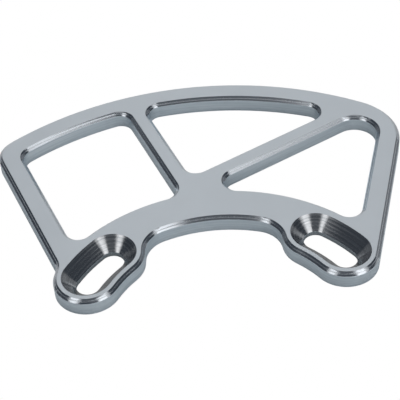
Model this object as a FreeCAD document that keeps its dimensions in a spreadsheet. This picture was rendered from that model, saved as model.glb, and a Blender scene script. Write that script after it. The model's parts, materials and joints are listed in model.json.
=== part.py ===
import FreeCAD, Part
import math
import os
import Sketcher

# Chainring guard: one flat plate, milled from aluminium, that stands over a sector of a bicycle chainring.
# It is drawn about the crank axis, with +Y from the axis to the middle between the two mounting slots,
# and lies on its plain back face with the chamfered, countersunk face up.

DRIVING_SIZES = {
    # plate
    "plate_thickness": 4.0,
    "edge_chamfer": 0.85,
    # mounting slots, bent round the crank axis
    "mount_radius": 33.0,
    "slot_spacing_angle": 99.6,
    "slot_sweep_angle": 14.6,
    "slot_width": 5.3,
    "countersink_width": 11.1,
    "boss_land": 1.75,
    # bands that follow the crank axis and the chainring
    "bay_inset": 1.35,
    "hub_land": 1.5,
    "rim_radius": 75.2,
    "rim_width": 5.8,
    "rim_shift_left": 0.6,
    "rim_shift_out": 4.1,
    # straight edges: leans are measured from +Y
    "left_edge_lean": 19.8,
    "left_boss_bulge": 2.65,
    "left_bar_width": 5.4,
    "right_edge_lean": 18.2,
    "right_bar_width": 5.5,
    "spoke_lean": 19.0,
    "spoke_distance": 7.65,
    "spoke_width": 4.5,
    "brace_width": 4.6,
    "brace_hub_overlap": 2.85,
    "brace_corner_margin": 6.2,
    # corner radii
    "left_corner_radius": 6.5,
    "right_corner_radius": 13.5,
    "waist_radius": 5.0,
    "bay_corner_radius": 6.5,
    "window_corner_radius": 3.0,
    "brace_corner_radius": 5.0,
}

doc = FreeCAD.newDocument("ChainringGuard")
sheet = doc.addObject("Spreadsheet::Sheet", "Sizes")
for row, (name, value) in enumerate(DRIVING_SIZES.items(), start=1):
    sheet.set(f"A{row}", name)
    sheet.set(f"B{row}", str(value))
    sheet.setAlias(f"B{row}", name)
doc.recompute()


def size(name):
    return float(getattr(sheet, name))


# Plane geometry for the starting shape of each sketch

AXIS = FreeCAD.Vector(0, 0, 0)
UP = FreeCAD.Vector(0, 0, 1)


def polar(radius, angle):
    return FreeCAD.Vector(radius * math.cos(math.radians(angle)), radius * math.sin(math.radians(angle)), 0)


def left_of(direction):
    return FreeCAD.Vector(-direction.y, direction.x, 0)


class Straight:
    """A straight side that passes the crank axis on its left, travelled along its heading in degrees.

    Its distance is kept from the axis, or from the line named by beside, which it also follows
    where no heading is bound."""

    def __init__(self, heading, distance, heading_bound=None, distance_bound=None, beside=None):
        self.direction = polar(1, heading)
        self.point = left_of(self.direction) * -distance
        self.bounds = (heading_bound, distance_bound)
        self.beside = beside

    def nearest(self, point):
        return self.point + self.direction * (point - self.point).dot(self.direction)


class Round:
    """A side that follows a circle, travelled anticlockwise or clockwise."""

    def __init__(self, center, radius, anticlockwise, center_bound=None, radius_bound=None):
        self.center = center
        self.radius = radius
        self.anticlockwise = anticlockwise
        self.bounds = (center_bound, radius_bound)

    def nearest(self, point):
        return self.center + (point - self.center).normalize() * self.radius


def shifted_left(side, distance):
    if isinstance(side, Straight):
        copy = Straight(0, 0)
        copy.direction = side.direction
        copy.point = side.point + left_of(side.direction) * distance
        return copy
    change = -distance if side.anticlockwise else distance
    return Round(side.center, side.radius + change, side.anticlockwise)


def crossing(first, second, guide):
    """Of the points where two sides cross, the one that lies nearest to the guide point."""
    if isinstance(second, Straight):
        first, second = second, first
    if isinstance(second, Straight):
        across = left_of(second.direction)
        reach = (second.point - first.point).dot(across) / first.direction.dot(across)
        return first.point + first.direction * reach
    if isinstance(first, Straight):
        along = first.direction
        foot = first.nearest(second.center)
        half = math.sqrt(second.radius ** 2 - (foot - second.center).Length ** 2)
    else:
        between = second.center - first.center
        gap = between.Length
        between.normalize()
        reach = (gap ** 2 + first.radius ** 2 - second.radius ** 2) / (2 * gap)
        along = left_of(between)
        foot = first.center + between * reach
        half = math.sqrt(first.radius ** 2 - reach ** 2)
    return min((foot + along * half, foot - along * half), key=lambda point: (point - guide).Length)


def touching(first, second):
    """The point where two sides touch without crossing."""
    if isinstance(first, Straight):
        return first.nearest(second.center)
    if isinstance(second, Straight):
        return second.nearest(first.center)
    if (first.center - AXIS).Length > (second.center - AXIS).Length:
        first, second = second, first
    return first.nearest(second.center)


class Corner:
    """A rounded corner between two sides: a left turn is 1 and a right turn is -1.

    Its middle may be kept at a distance from the middle of the arc named by about."""

    def __init__(self, radius_name, turn=1, about=None, distance_bound=None):
        self.radius_name = radius_name
        self.turn = turn
        self.about = about
        self.distance_bound = distance_bound


def draw_loop(sketch, sides, corners, guide):
    """Draw a closed chain of tangent lines and arcs, bind it to the sheet and return the sides' numbers.

    corners[i] joins sides[i] to the next side, and None stands for sides that already touch."""
    joints = []
    for index, corner in enumerate(corners):
        this, following = sides[index], sides[(index + 1) % len(sides)]
        if corner is None:
            point = touching(this, following)
            joints.append((point, None, point))
            continue
        shift = size(corner.radius_name) * corner.turn
        center = crossing(shifted_left(this, shift), shifted_left(following, shift), guide)
        joints.append((this.nearest(center), center, following.nearest(center)))

    chain = []

    def add(side, start, end):
        if isinstance(side, Straight):
            chain.append((sketch.addGeometry(Part.LineSegment(start, end)), 1, 2))
            return chain[-1][0]
        ends = (start, end) if side.anticlockwise else (end, start)
        angles = [math.atan2(point.y - side.center.y, point.x - side.center.x) for point in ends]
        arc = Part.ArcOfCircle(Part.Circle(side.center, UP, side.radius), angles[0], angles[1])
        order = (1, 2) if side.anticlockwise else (2, 1)
        chain.append((sketch.addGeometry(arc), *order))
        return chain[-1][0]

    def bind(constraint, expression):
        number = sketch.addConstraint(constraint)
        sketch.setExpression(f"Constraints[{number}]", expression)

    def bind_side(number, side):
        place, reach = side.bounds
        if isinstance(side, Straight):
            if place:
                angle = math.atan2(side.direction.y, side.direction.x)
                bind(Sketcher.Constraint("Angle", number, angle), f"({place}) * 1 deg")
            elif side.beside is not None:
                sketch.addConstraint(Sketcher.Constraint("Parallel", number, side.beside))
            if side.beside is not None:
                bind(Sketcher.Constraint("Distance", number, 1, side.beside, 1.0), reach)
            elif reach:
                bind(Sketcher.Constraint("Distance", -1, 1, number, side.point.Length), reach)
            return
        if place:
            bind(Sketcher.Constraint("DistanceX", -1, 1, number, 3, side.center.x), place[0])
        if place and place[1]:
            bind(Sketcher.Constraint("DistanceY", -1, 1, number, 3, side.center.y), place[1])
        if not place:
            sketch.addConstraint(Sketcher.Constraint("Coincident", number, 3, -1, 1))
        if reach:
            bind(Sketcher.Constraint("Radius", number, side.radius), reach)

    def bind_corner(number, corner):
        bind(Sketcher.Constraint("Radius", number, size(corner.radius_name)), f"Sizes.{corner.radius_name}")
        if corner.about is not None:
            bind(Sketcher.Constraint("Distance", number, 3, corner.about, 3, 1.0), corner.distance_bound)

    side_numbers = []
    corner_numbers = []
    for index, (side, corner) in enumerate(zip(sides, corners)):
        leaving, center, arriving = joints[index]
        side_numbers.append(add(side, joints[index - 1][2], leaving))
        if corner:
            turn = Round(center, size(corner.radius_name), corner.turn > 0)
            corner_numbers.append((add(turn, leaving, arriving), corner))
    for this, following in zip(chain, chain[1:] + chain[:1]):
        sketch.addConstraint(Sketcher.Constraint("Tangent", this[0], this[2], following[0], following[1]))
    for number, side in zip(side_numbers, sides):
        bind_side(number, side)
    for number, corner in corner_numbers:
        bind_corner(number, corner)
    return side_numbers


# Sides that several loops share

BOSS_RADIUS = "Sizes.countersink_width / 2 + Sizes.boss_land"
boss_radius = size("countersink_width") / 2 + size("boss_land")
SLOT_END_ANGLES = {
    "left_outer": "90 + (Sizes.slot_spacing_angle + Sizes.slot_sweep_angle) / 2",
    "left_inner": "90 + (Sizes.slot_spacing_angle - Sizes.slot_sweep_angle) / 2",
    "right_inner": "90 - (Sizes.slot_spacing_angle - Sizes.slot_sweep_angle) / 2",
    "right_outer": "90 - (Sizes.slot_spacing_angle + Sizes.slot_sweep_angle) / 2",
}
half_spacing = size("slot_spacing_angle") / 2
half_sweep = size("slot_sweep_angle") / 2
slot_end_angles = {
    "left_outer": 90 + half_spacing + half_sweep,
    "left_inner": 90 + half_spacing - half_sweep,
    "right_inner": 90 - half_spacing + half_sweep,
    "right_outer": 90 - half_spacing - half_sweep,
}
BAY_RADIUS = "Sizes.mount_radius - Sizes.bay_inset"
bay_radius = size("mount_radius") - size("bay_inset")
HUB_RADIUS = "Sizes.mount_radius + Sizes.countersink_width / 2 + Sizes.hub_land + Sizes.edge_chamfer"
hub_radius = size("mount_radius") + size("countersink_width") / 2 + size("hub_land") + size("edge_chamfer")
rim_center = FreeCAD.Vector(-size("rim_shift_left"), size("rim_shift_out"), 0)
guide = polar((hub_radius + size("rim_radius")) / 2, 90)


def slot_end(name, radius, radius_bound=None, placed_out=True):
    """The round end of a slot, or of the boss round it.

    An end that the rest of its loop already holds on the mounting circle needs no place outwards."""
    angle = SLOT_END_ANGLES[name]
    out = f"Sizes.mount_radius * sin({angle})" if placed_out else None
    place = (f"Sizes.mount_radius * cos({angle})", out)
    return Round(polar(size("mount_radius"), slot_end_angles[name]), radius, True, place, radius_bound)


def rim_side(inset_name=None):
    """The rim's outer edge, or its inner edge one rim width further in."""
    radius = size("rim_radius") - (size(inset_name) if inset_name else 0)
    bound = "Sizes.rim_radius" + (f" - Sizes.{inset_name}" if inset_name else "")
    return Round(rim_center, radius, True, ("-Sizes.rim_shift_left", "Sizes.rim_shift_out"), bound)


def hub_side():
    """The hub band's outer edge, clear of the countersinks."""
    return Round(AXIS, hub_radius, False, None, HUB_RADIUS)


def boss_side_distance(lean_name):
    """How far from the crank axis a leaning line runs that just touches the outer end of a boss."""
    turn = slot_end_angles["right_outer"] + size(lean_name)
    return size("mount_radius") * math.cos(math.radians(turn)) + boss_radius


def boss_side_bound(lean_name):
    turn = f"{SLOT_END_ANGLES['right_outer']} + Sizes.{lean_name}"
    return f"Sizes.mount_radius * cos({turn}) + {BOSS_RADIUS}"


def left_side(inset_name=None):
    """The left edge, which the boss bulges past, or its bar's inner edge, travelled towards the axis."""
    distance = boss_side_distance("left_edge_lean") - size("left_boss_bulge")
    bound = f"{boss_side_bound('left_edge_lean')} - Sizes.left_boss_bulge"
    if inset_name:
        distance -= size(inset_name)
        bound += f" - Sizes.{inset_name}"
    return Straight(size("left_edge_lean") - 90, distance, "Sizes.left_edge_lean - 90", bound)


def right_side(inset_name=None):
    """The right edge, which runs on from the boss, or the inner edge of its bar."""
    heading, heading_bound = 90 - size("right_edge_lean"), "90 - Sizes.right_edge_lean"
    distance = boss_side_distance("right_edge_lean")
    if not inset_name:
        return Straight(heading, distance, heading_bound)
    bound = f"{boss_side_bound('right_edge_lean')} - Sizes.{inset_name}"
    return Straight(heading, distance - size(inset_name), heading_bound, bound)


# The plate

guard = doc.addObject("PartDesign::Body", "GuardPlate")
guard.Label = "guard_plate"
back_plane = next(item for item in guard.Origin.OriginFeatures if item.Role == "XY_Plane")


def new_sketch(name):
    sketch = guard.newObject("Sketcher::SketchObject", name)
    sketch.AttachmentSupport = [(back_plane, "")]
    sketch.MapMode = "FlatFace"
    return sketch


def cut_through(name, sketch):
    pocket = guard.newObject("PartDesign::Pocket", name)
    pocket.Profile = sketch
    pocket.Type = "ThroughAll"
    pocket.Reversed = True
    return pocket


def top_face(shape):
    flat = [face for face in shape.Faces if face.BoundBox.ZLength < 1e-6]
    return max(flat, key=lambda face: face.BoundBox.ZMax)


outline = new_sketch("Outline")
flank_radius = size("mount_radius") - boss_radius
draw_loop(
    outline,
    [
        right_side(),
        rim_side(),
        left_side(),
        slot_end("left_outer", boss_radius, BOSS_RADIUS),
        Round(AXIS, flank_radius, False),
        slot_end("left_inner", boss_radius),
        Round(AXIS, bay_radius, False, None, BAY_RADIUS),
        slot_end("right_inner", boss_radius),
        Round(AXIS, flank_radius, False),
        slot_end("right_outer", boss_radius, BOSS_RADIUS),
    ],
    [
        Corner("right_corner_radius"),
        Corner("left_corner_radius"),
        Corner("waist_radius", -1),
        None,
        None,
        Corner("bay_corner_radius", -1),
        Corner("bay_corner_radius", -1),
        None,
        None,
        None,
    ],
    guide,
)
plate = guard.newObject("PartDesign::Pad", "Plate")
plate.Profile = outline
plate.setExpression("Length", "Sizes.plate_thickness")

# Three windows, parted by a spoke and a slanting brace

windows = new_sketch("Windows")
window_corner = Corner("window_corner_radius")
spoke_heading, spoke_bound = 90 + size("spoke_lean"), "90 + Sizes.spoke_lean"
left_window = draw_loop(
    windows,
    [
        Straight(spoke_heading, size("spoke_distance"), spoke_bound, "Sizes.spoke_distance"),
        rim_side("rim_width"),
        left_side("left_bar_width"),
        hub_side(),
    ],
    [window_corner] * 4,
    guide,
)

# The brace's near wall runs out of the hub into a round corner that keeps its margin from the rim's edge

CORNER_REACH = "Sizes.rim_radius - Sizes.brace_corner_margin - Sizes.brace_corner_radius"
corner_reach = size("rim_radius") - size("brace_corner_margin") - size("brace_corner_radius")
corner_path = shifted_left(right_side("right_bar_width"), size("brace_corner_radius"))
corner_center = crossing(corner_path, Round(rim_center, corner_reach, True), guide)
brace_near = hub_radius - size("brace_hub_overlap")
swing = math.acos((brace_near - size("brace_corner_radius")) / corner_center.Length)
brace_heading = math.degrees(math.atan2(corner_center.y, corner_center.x) + swing) - 90
right_window = draw_loop(
    windows,
    [
        hub_side(),
        right_side("right_bar_width"),
        Straight(brace_heading + 180, brace_near, None, f"{HUB_RADIUS} - Sizes.brace_hub_overlap"),
    ],
    [
        window_corner,
        Corner("brace_corner_radius", about=left_window[1], distance_bound=CORNER_REACH),
        window_corner,
    ],
    guide,
)
brace_far = brace_near + size("brace_width")
spoke_far = size("spoke_distance") + size("spoke_width")
draw_loop(
    windows,
    [
        Straight(brace_heading, -brace_far, None, "Sizes.brace_width", right_window[2]),
        rim_side("rim_width"),
        Straight(spoke_heading - 180, -spoke_far, None, "Sizes.spoke_width", left_window[0]),
    ],
    [window_corner] * 3,
    guide,
)
window_cut = cut_through("WindowCut", windows)
doc.recompute()

# One chamfer runs round the outline and the windows on the front face

front = top_face(window_cut.Shape)
front_number = next(n for n, face in enumerate(window_cut.Shape.Faces, start=1) if face.isSame(front))
front_chamfer = guard.newObject("PartDesign::Chamfer", "FrontChamfer")
front_chamfer.Base = (window_cut, [f"Face{front_number}"])
front_chamfer.setExpression("Size", "Sizes.edge_chamfer")
doc.recompute()

# Two slots bent round the crank axis, countersunk at 90 degrees for flat-headed screws

slots = new_sketch("Slots")
slot_radius = size("slot_width") / 2
for hand, (first, last) in {"left": ("inner", "outer"), "right": ("outer", "inner")}.items():
    draw_loop(
        slots,
        [
            Round(AXIS, size("mount_radius") + slot_radius, True),
            slot_end(f"{hand}_{last}", slot_radius, "Sizes.slot_width / 2"),
            Round(AXIS, size("mount_radius") - slot_radius, False),
            slot_end(f"{hand}_{first}", slot_radius, placed_out=False),
        ],
        [None] * 4,
        guide,
    )
slot_cut = cut_through("SlotCut", slots)
doc.recompute()


def is_slot_rim(wire):
    """True where every corner of the wire lies as near to the mounting circle as a slot's wall does."""
    limit = slot_radius + size("edge_chamfer") / 2
    return all(abs(math.hypot(v.X, v.Y) - size("mount_radius")) < limit for v in wire.Vertexes)


slot_rims = [wire for wire in top_face(slot_cut.Shape).Wires if is_slot_rim(wire)]
rim_edges = [edge for wire in slot_rims for edge in wire.Edges]
edge_names = [
    f"Edge{n}"
    for n, edge in enumerate(slot_cut.Shape.Edges, start=1)
    if any(edge.isSame(rim) for rim in rim_edges)
]
countersink = guard.newObject("PartDesign::Chamfer", "Countersink")
countersink.Base = (slot_cut, edge_names)
countersink.setExpression("Size", "(Sizes.countersink_width - Sizes.slot_width) / 2")
guard.Tip = countersink
doc.recompute()

# The plate lies on its back, with the origin under the middle of its box
box = guard.Shape.BoundBox
guard.Placement.Base = FreeCAD.Vector(-box.Center.x, -box.Center.y, 0)
doc.recompute()

faulty = [item.Name for item in doc.Objects if {"Invalid", "Error"} & set(item.State)]
if faulty:
    raise RuntimeError(f"objects that failed: {faulty}")
steps = [plate, window_cut, front_chamfer, slot_cut, countersink]
for before, after in zip(steps, steps[1:]):
    if after.Shape.Volume > before.Shape.Volume - 1:
        raise RuntimeError(f"{after.Name} cuts nothing")
if guard.Shape.isNull() or not guard.Shape.isValid() or len(guard.Shape.Solids) != 1:
    raise RuntimeError("the plate is not one sound solid")

os.makedirs("parts", exist_ok=True)
guard.Shape.exportStep(f"parts/{guard.Label}.step")
print(f"{guard.Label}: volume {guard.Shape.Volume:.1f} mm3, box {guard.Shape.BoundBox}")
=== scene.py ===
import json
import math

import bmesh
import bpy
from mathutils import Matrix, Vector


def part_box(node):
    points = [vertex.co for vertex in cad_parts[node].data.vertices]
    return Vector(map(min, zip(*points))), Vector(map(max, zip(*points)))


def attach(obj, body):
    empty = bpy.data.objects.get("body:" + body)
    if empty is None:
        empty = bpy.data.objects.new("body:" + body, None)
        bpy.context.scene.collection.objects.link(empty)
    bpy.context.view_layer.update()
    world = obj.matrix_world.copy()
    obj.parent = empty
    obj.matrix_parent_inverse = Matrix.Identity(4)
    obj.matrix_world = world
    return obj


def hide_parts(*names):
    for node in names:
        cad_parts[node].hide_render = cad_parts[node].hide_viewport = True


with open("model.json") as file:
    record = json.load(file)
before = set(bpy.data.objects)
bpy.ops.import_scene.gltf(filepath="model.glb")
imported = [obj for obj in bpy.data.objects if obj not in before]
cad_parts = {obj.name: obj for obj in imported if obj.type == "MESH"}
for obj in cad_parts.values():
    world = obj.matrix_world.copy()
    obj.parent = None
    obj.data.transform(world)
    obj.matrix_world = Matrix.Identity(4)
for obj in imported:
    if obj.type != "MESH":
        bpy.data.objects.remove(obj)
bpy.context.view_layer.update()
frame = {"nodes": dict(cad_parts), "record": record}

MM = 0.001

# The plate, in millimetres: the top and the chamfer are the CAD's, the broken edge is the scene's
PLATE_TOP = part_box("guard_plate")[1].z / MM
CHAMFER = 0.85
SUNK_DEPTH = 1.5 * CHAMFER
EDGE_BREAK = 0.035
MERGE_DISTANCE = 0.001

# The plate's material slots
FLAT, WALL, BRIGHT, SUNK = range(4)

# How level a face is, by the upright part of its normal
LEVEL, BROKEN_LEVEL, UPRIGHT = 0.9, 0.8, 0.3


# Materials

# A pattern stretched like this runs level round the plate, along the cuts
ALONG_CUT = Vector((0.02, 0.02, 1.0))

# The Wave node turns this many radians in a unit of length at scale 1
WAVE_RADIANS = 20

# Sockets of a Mix node that mixes colours
MIX_FACTOR, MIX_FIRST, MIX_SECOND, MIX_RESULT = 0, 6, 7, 2


def linear(hex_colour):
    """An sRGB hex colour as the linear RGBA that shader sockets take."""
    channels = [int(hex_colour[i : i + 2], 16) / 255 for i in (1, 3, 5)]
    return [c / 12.92 if c <= 0.04045 else ((c + 0.055) / 1.055) ** 2.4 for c in channels] + [1.0]


def add_node(tree, kind, settings=None, inputs=None):
    """Add a node, set its properties, then link or set its inputs, and return it."""
    node = tree.nodes.new(kind)
    for name, value in (settings or {}).items():
        setattr(node, name, value)
    for name, value in (inputs or {}).items():
        if isinstance(value, bpy.types.NodeSocket):
            tree.links.new(value, node.inputs[name])
        else:
            node.inputs[name].default_value = value
    return node


def empty_material(name):
    """A material without nodes, returned with its tree."""
    material = bpy.data.materials.new(name)
    material.use_nodes = True
    tree = material.node_tree
    tree.nodes.clear()
    return material, tree


def new_metal(name):
    """A metal with one Principled shader, returned with its tree, shader and Object coordinates."""
    material, tree = empty_material(name)
    shader = add_node(tree, "ShaderNodeBsdfPrincipled", inputs={"Metallic": 1.0})
    add_node(tree, "ShaderNodeOutputMaterial", inputs={"Surface": shader.outputs["BSDF"]})
    place = add_node(tree, "ShaderNodeTexCoord").outputs["Object"]
    return material, tree, shader, place


def patches(size_mm):
    """The noise scale whose patches are about this many millimetres wide."""
    return 1 / (size_mm * MM)


def bands(spacing_mm):
    """The wave scale whose bands lie this many millimetres apart."""
    return 2 * math.pi / WAVE_RADIANS / (spacing_mm * MM)


def blasted_aluminium():
    """Aluminium, bead-blasted and clear anodised: an even satin grey with a fine, dry grain."""
    material, tree, shader, place = new_metal("bead-blasted anodised aluminium")
    shader.inputs["Base Color"].default_value = linear("#C8CED3")
    # Real blast pits are about 0.05 mm wide; they are drawn coarser so that the grain shows
    grain = add_node(
        tree, "ShaderNodeTexNoise", inputs={"Vector": place, "Scale": patches(0.35), "Detail": 3.0}
    )
    cloud = add_node(
        tree, "ShaderNodeTexNoise", inputs={"Vector": place, "Scale": patches(9), "Detail": 2.0}
    )
    roughness = add_node(
        tree,
        "ShaderNodeMapRange",
        inputs={"Value": cloud.outputs["Fac"], "To Min": 0.50, "To Max": 0.56},
    )
    bump = add_node(
        tree,
        "ShaderNodeBump",
        inputs={"Height": grain.outputs["Fac"], "Strength": 0.25, "Distance": 0.01 * MM},
    )
    tree.links.new(roughness.outputs["Result"], shader.inputs["Roughness"])
    tree.links.new(bump.outputs["Normal"], shader.inputs["Normal"])
    return material


def milled_wall_aluminium():
    """Aluminium, cut by the side of an end mill: grey walls with fine lines along the cut."""
    material, tree, shader, place = new_metal("end-milled aluminium wall")
    along = add_node(tree, "ShaderNodeMapping", inputs={"Vector": place, "Scale": ALONG_CUT})
    # Real mill lines are about 0.1 mm apart; they are drawn coarser so that they show
    lines = add_node(
        tree,
        "ShaderNodeTexNoise",
        inputs={"Vector": along.outputs["Vector"], "Scale": patches(0.5), "Detail": 4.0},
    ).outputs["Fac"]
    tint = add_node(
        tree,
        "ShaderNodeMix",
        {"data_type": "RGBA"},
        {MIX_FACTOR: lines, MIX_FIRST: linear("#EEF7FC"), MIX_SECOND: linear("#B4C2CC")},
    )
    roughness = add_node(
        tree, "ShaderNodeMapRange", inputs={"Value": lines, "To Min": 0.36, "To Max": 0.54}
    )
    bump = add_node(
        tree, "ShaderNodeBump", inputs={"Height": lines, "Strength": 0.5, "Distance": 0.02 * MM}
    )
    tree.links.new(tint.outputs[MIX_RESULT], shader.inputs["Base Color"])
    tree.links.new(roughness.outputs["Result"], shader.inputs["Roughness"])
    tree.links.new(bump.outputs["Normal"], shader.inputs["Normal"])
    return material


def bright_cut_aluminium():
    """Aluminium, chamfered last in two passes: near mirror-bright, with a duller line in the middle."""
    material, tree, shader, place = new_metal("bright-cut aluminium chamfer")
    shader.inputs["Base Color"].default_value = linear("#DDE2E7")
    middle = (PLATE_TOP - CHAMFER / 2) * MM
    centred = add_node(
        tree, "ShaderNodeMapping", inputs={"Vector": place, "Location": Vector((0, 0, -middle))}
    ).outputs["Vector"]
    # A real line between two passes is about 0.05 mm wide; it is drawn coarser so that it shows
    line = add_node(
        tree,
        "ShaderNodeTexWave",
        {"wave_type": "BANDS", "bands_direction": "Z"},
        {"Vector": centred, "Scale": bands(0.5), "Phase Offset": math.pi},
    )
    dull = add_node(
        tree,
        "ShaderNodeMapRange",
        inputs={"Value": line.outputs["Fac"], "From Min": 0.35, "To Min": 0.14, "To Max": 0.27},
    )
    height = add_node(tree, "ShaderNodeSeparateXYZ", inputs={"Vector": centred}).outputs["Z"]
    off_middle = add_node(tree, "ShaderNodeMath", {"operation": "ABSOLUTE"}, {0: height})
    groove = add_node(
        tree,
        "ShaderNodeMapRange",
        {"interpolation_type": "SMOOTHSTEP"},
        {"Value": off_middle.outputs["Value"], "From Min": 0.0, "From Max": 0.12 * MM},
    )
    bump = add_node(
        tree,
        "ShaderNodeBump",
        inputs={"Height": groove.outputs["Result"], "Strength": 1.0, "Distance": 0.015 * MM},
    )
    tree.links.new(dull.outputs["Result"], shader.inputs["Roughness"])
    tree.links.new(bump.outputs["Normal"], shader.inputs["Normal"])
    return material


def countersunk_aluminium():
    """Aluminium, cut by a countersink run along the slot: mirror-bright, with soft turned rings."""
    material, tree, shader, place = new_metal("countersunk aluminium")
    # Real tool marks are about 0.05 mm apart; they are drawn coarser so that they show
    rings = add_node(
        tree,
        "ShaderNodeTexWave",
        {"wave_type": "BANDS", "bands_direction": "Z"},
        {"Vector": place, "Scale": bands(0.58)},
    )
    dull = add_node(
        tree,
        "ShaderNodeMapRange",
        inputs={"Value": rings.outputs["Fac"], "From Min": 0.3, "To Min": 0.15, "To Max": 0.21},
    )
    along = add_node(tree, "ShaderNodeMapping", inputs={"Vector": place, "Scale": ALONG_CUT})
    streaks = add_node(
        tree,
        "ShaderNodeTexNoise",
        inputs={"Vector": along.outputs["Vector"], "Scale": patches(0.3), "Detail": 3.0},
    ).outputs["Fac"]
    tint = add_node(
        tree,
        "ShaderNodeMix",
        {"data_type": "RGBA"},
        {MIX_FACTOR: streaks, MIX_FIRST: linear("#FFFFFF"), MIX_SECOND: linear("#8A9096")},
    )
    tree.links.new(tint.outputs[MIX_RESULT], shader.inputs["Base Color"])
    tree.links.new(dull.outputs["Result"], shader.inputs["Roughness"])
    return material


# The plate


def new_object(name, shape):
    """Put a finished bmesh into the scene as an object, and return the object."""
    mesh = bpy.data.meshes.new(name)
    shape.to_mesh(mesh)
    shape.free()
    thing = bpy.data.objects.new(name, mesh)
    bpy.context.scene.collection.objects.link(thing)
    return thing


def finish_of(face):
    """Level faces are blasted, upright ones milled, chamfers bright-cut and deep slopes countersunk."""
    rise = abs(face.normal.z)
    if rise > LEVEL:
        return FLAT
    if rise < UPRIGHT:
        return WALL
    lowest = min(corner.co.z for corner in face.verts) / MM
    return SUNK if lowest < PLATE_TOP - SUNK_DEPTH else BRIGHT


def spread_countersinks(shape):
    """Pass the countersunk finish from each deep slope to the slopes that touch it."""
    deep = [face for face in shape.faces if face.material_index == SUNK]
    while deep:
        for beside in (face for edge in deep.pop().edges for face in edge.link_faces):
            if beside.material_index == BRIGHT:
                beside.material_index = SUNK
                deep.append(beside)


def deburred_plate():
    """The CAD plate, merged, with a finish on each face and every sharp edge broken by a hair."""
    shape = bmesh.new()
    shape.from_mesh(frame["nodes"]["guard_plate"].data)
    bmesh.ops.remove_doubles(shape, verts=shape.verts, dist=MERGE_DISTANCE * MM)
    bmesh.ops.dissolve_limit(
        shape, angle_limit=math.radians(0.3), verts=shape.verts, edges=shape.edges
    )
    for face in shape.faces:
        face.material_index = finish_of(face)
    spread_countersinks(shape)
    sharp = [
        edge for edge in shape.edges if len({face.material_index for face in edge.link_faces}) > 1
    ]
    breaks = bmesh.ops.bevel(
        shape,
        geom=sharp,
        offset=EDGE_BREAK * MM,
        affect="EDGES",
        segments=2,
        profile=0.5,
        material=-1,
        clamp_overlap=True,
    )
    # The broken edges are duller than the bright cuts beside them, so they take the plainer finishes
    for face in breaks["faces"]:
        face.material_index = FLAT if face.normal.z > BROKEN_LEVEL else WALL
    for face in shape.faces:
        face.smooth = True
    plate = new_object("deburred_plate", shape)
    flats = plate.modifiers.new("even flats", "WEIGHTED_NORMAL")
    flats.mode = "FACE_AREA_WITH_ANGLE"
    return plate


plate = deburred_plate()
for finish in (blasted_aluminium, milled_wall_aluminium, bright_cut_aluminium, countersunk_aluminium):
    plate.data.materials.append(finish())
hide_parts("guard_plate")
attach(plate, "root")


# Floor, studio and camera

# In metres
LAMP_DISTANCE = 1.2
FLOOR_REACH = 4.0

# In millimetres
FLOOR_DROP = 0.1
CARD_DROP = 0.05
CAMERA_PLACE = (-11.170, -210.631, 196.143)
CAMERA_LENS, CAMERA_SENSOR = 112.5, 36.0

# In degrees
CAMERA_TURN, CAMERA_TILT, CAMERA_ROLL = -2.7027, 46.661, -3.981


def white_floor():
    """A plain table that the lens sees as clean white paper, and the metal as softly lit grey."""
    shape = bmesh.new()
    bmesh.ops.create_grid(shape, x_segments=1, y_segments=1, size=FLOOR_REACH)
    bmesh.ops.translate(shape, verts=shape.verts, vec=(0, 0, -FLOOR_DROP * MM))
    floor = new_object("white_floor", shape)
    material, tree = empty_material("white paper")
    seen = add_node(tree, "ShaderNodeLightPath").outputs["Is Camera Ray"]
    grey = add_node(
        tree,
        "ShaderNodeBsdfPrincipled",
        inputs={
            "Base Color": linear("#CCCCCC"),
            "Emission Color": linear("#303335"),
            "Emission Strength": 1.0,
        },
    )
    white = add_node(tree, "ShaderNodeEmission", inputs={"Color": linear("#FFFFFF")})
    paper = add_node(
        tree,
        "ShaderNodeMixShader",
        inputs={0: seen, 1: grey.outputs["BSDF"], 2: white.outputs["Emission"]},
    )
    add_node(tree, "ShaderNodeOutputMaterial", inputs={"Surface": paper.outputs["Shader"]})
    floor.data.materials.append(material)


def slot_shade_card(mount):
    """A grey card on the table under one slot, out of the lens's sight: painted shade under the slot, for
    the countersink to reflect.
    """
    shape = bmesh.new()
    radius = mount["dims"]["slot_length_mm"] / 2 * MM
    bmesh.ops.create_circle(shape, cap_ends=True, segments=32, radius=radius)
    middle = Vector(mount["pos_m"]) - Vector((0, 0, CARD_DROP * MM))
    bmesh.ops.translate(shape, verts=shape.verts, vec=middle)
    card = new_object("slot_shade_card", shape)
    card.visible_camera = False
    material, tree = empty_material("painted shade card")
    # The card's grey is painted shade: it darkens the table under the slot where the countersink and slot
    # walls reflect it
    grey = add_node(tree, "ShaderNodeBsdfPrincipled", inputs={"Base Color": linear("#8C8C8C")})
    add_node(tree, "ShaderNodeOutputMaterial", inputs={"Surface": grey.outputs["BSDF"]})
    card.data.materials.append(material)


def dim_studio():
    """A dim room round the softboxes, with a white backdrop where the lens looks past the table."""
    world = bpy.data.worlds.new("studio")
    bpy.context.scene.world = world
    world.use_nodes = True
    tree = world.node_tree
    tree.nodes.clear()
    seen = add_node(tree, "ShaderNodeLightPath").outputs["Is Camera Ray"]
    room = add_node(tree, "ShaderNodeBackground", inputs={"Color": linear("#3C4148")})
    white = add_node(tree, "ShaderNodeBackground", inputs={"Color": linear("#FFFFFF")})
    studio = add_node(
        tree,
        "ShaderNodeMixShader",
        inputs={0: seen, 1: room.outputs["Background"], 2: white.outputs["Background"]},
    )
    add_node(tree, "ShaderNodeOutputWorld", inputs={"Surface": studio.outputs["Shader"]})


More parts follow.
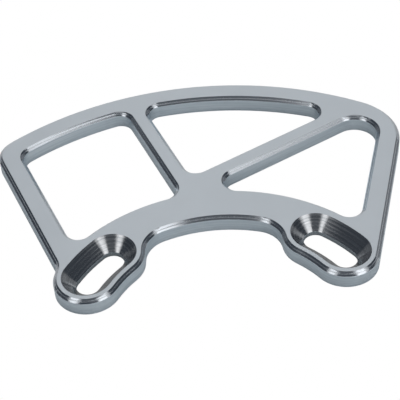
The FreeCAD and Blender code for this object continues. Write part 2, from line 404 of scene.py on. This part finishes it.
def softbox(name, azimuth, elevation, width, height, watts):
    """A lamp, sized in metres, that faces the plate: azimuth 0 is the front and 90 the right."""
    lamp = bpy.data.lights.new(name, "AREA")
    lamp.shape = "RECTANGLE"
    lamp.size = width
    lamp.size_y = height
    lamp.energy = watts
    holder = bpy.data.objects.new(name, lamp)
    around = math.radians(azimuth)
    up = math.radians(elevation)
    level = math.cos(up)
    away = Vector((math.sin(around) * level, -math.cos(around) * level, math.sin(up)))
    holder.location = away * LAMP_DISTANCE
    holder.rotation_euler = away.to_track_quat("Z", "Y").to_euler()
    bpy.context.scene.collection.objects.link(holder)
    return holder


def photo_camera():
    """A long lens that looks down on the plate from the front, turned as the photograph is."""
    camera = bpy.data.cameras.new("camera")
    camera.lens = CAMERA_LENS
    camera.sensor_width = CAMERA_SENSOR
    holder = bpy.data.objects.new("camera", camera)
    turn = (
        Matrix.Rotation(math.radians(CAMERA_TURN), 4, "Z")
        @ Matrix.Rotation(math.radians(CAMERA_TILT), 4, "X")
        @ Matrix.Rotation(math.radians(CAMERA_ROLL), 4, "Z")
    )
    holder.matrix_world = Matrix.Translation(Vector(CAMERA_PLACE) * MM) @ turn
    bpy.context.scene.collection.objects.link(holder)
    bpy.context.scene.camera = holder


white_floor()
# Each slot gets a card of painted shade on the table beneath it
for mount in frame["record"]["mounts"]:
    if mount["name"].endswith("slot"):
        slot_shade_card(mount)
dim_studio()

# The two main softboxes have a brighter core, which the bright cuts show
softbox("right_softbox", 46.5, 35.5, 0.77, 0.6, 0.75)
softbox("right_core", 42, 31, 0.5, 0.6, 0.62)
softbox("left_softbox", -50.5, 36, 0.60, 0.6, 0.63)
softbox("left_core", -51, 36, 0.34, 0.6, 0.34)

# Panels round the plate light its walls from every side, and the rear one the flats that the lens sees
softbox("front_strip", 20, 13, 1.4, 0.45, 3.6)
softbox("front_card", -3, 48, 0.8, 0.5, 0.065)
softbox("rear_panel", 177, 48, 1.05, 1.2, 4.1)
softbox("right_panel", 132, 12, 1.25, 0.5, 0.25)
softbox("left_panel", -140, 12, 0.9, 0.5, 0.10)
softbox("right_low", 85, 3, 1.0, 0.35, 0.4)
softbox("left_low", -85, 3, 1.0, 0.35, 0.4)

# High panels light the near ends of the countersinks, and the ceiling the flats seen from above
softbox("right_high", 85, 60, 0.9, 0.6, 0.8)
softbox("left_high", -105, 58, 0.6, 0.6, 0.3)
softbox("ceiling", 0, 89, 1.4, 1.4, 1.85)

# The overhead lamp lights the floor only and is flagged off the metal
softbox("overhead", 180, 68, 1.0, 1.0, 3.6).visible_glossy = False
photo_camera()
bpy.context.scene.view_settings.view_transform = "Standard"
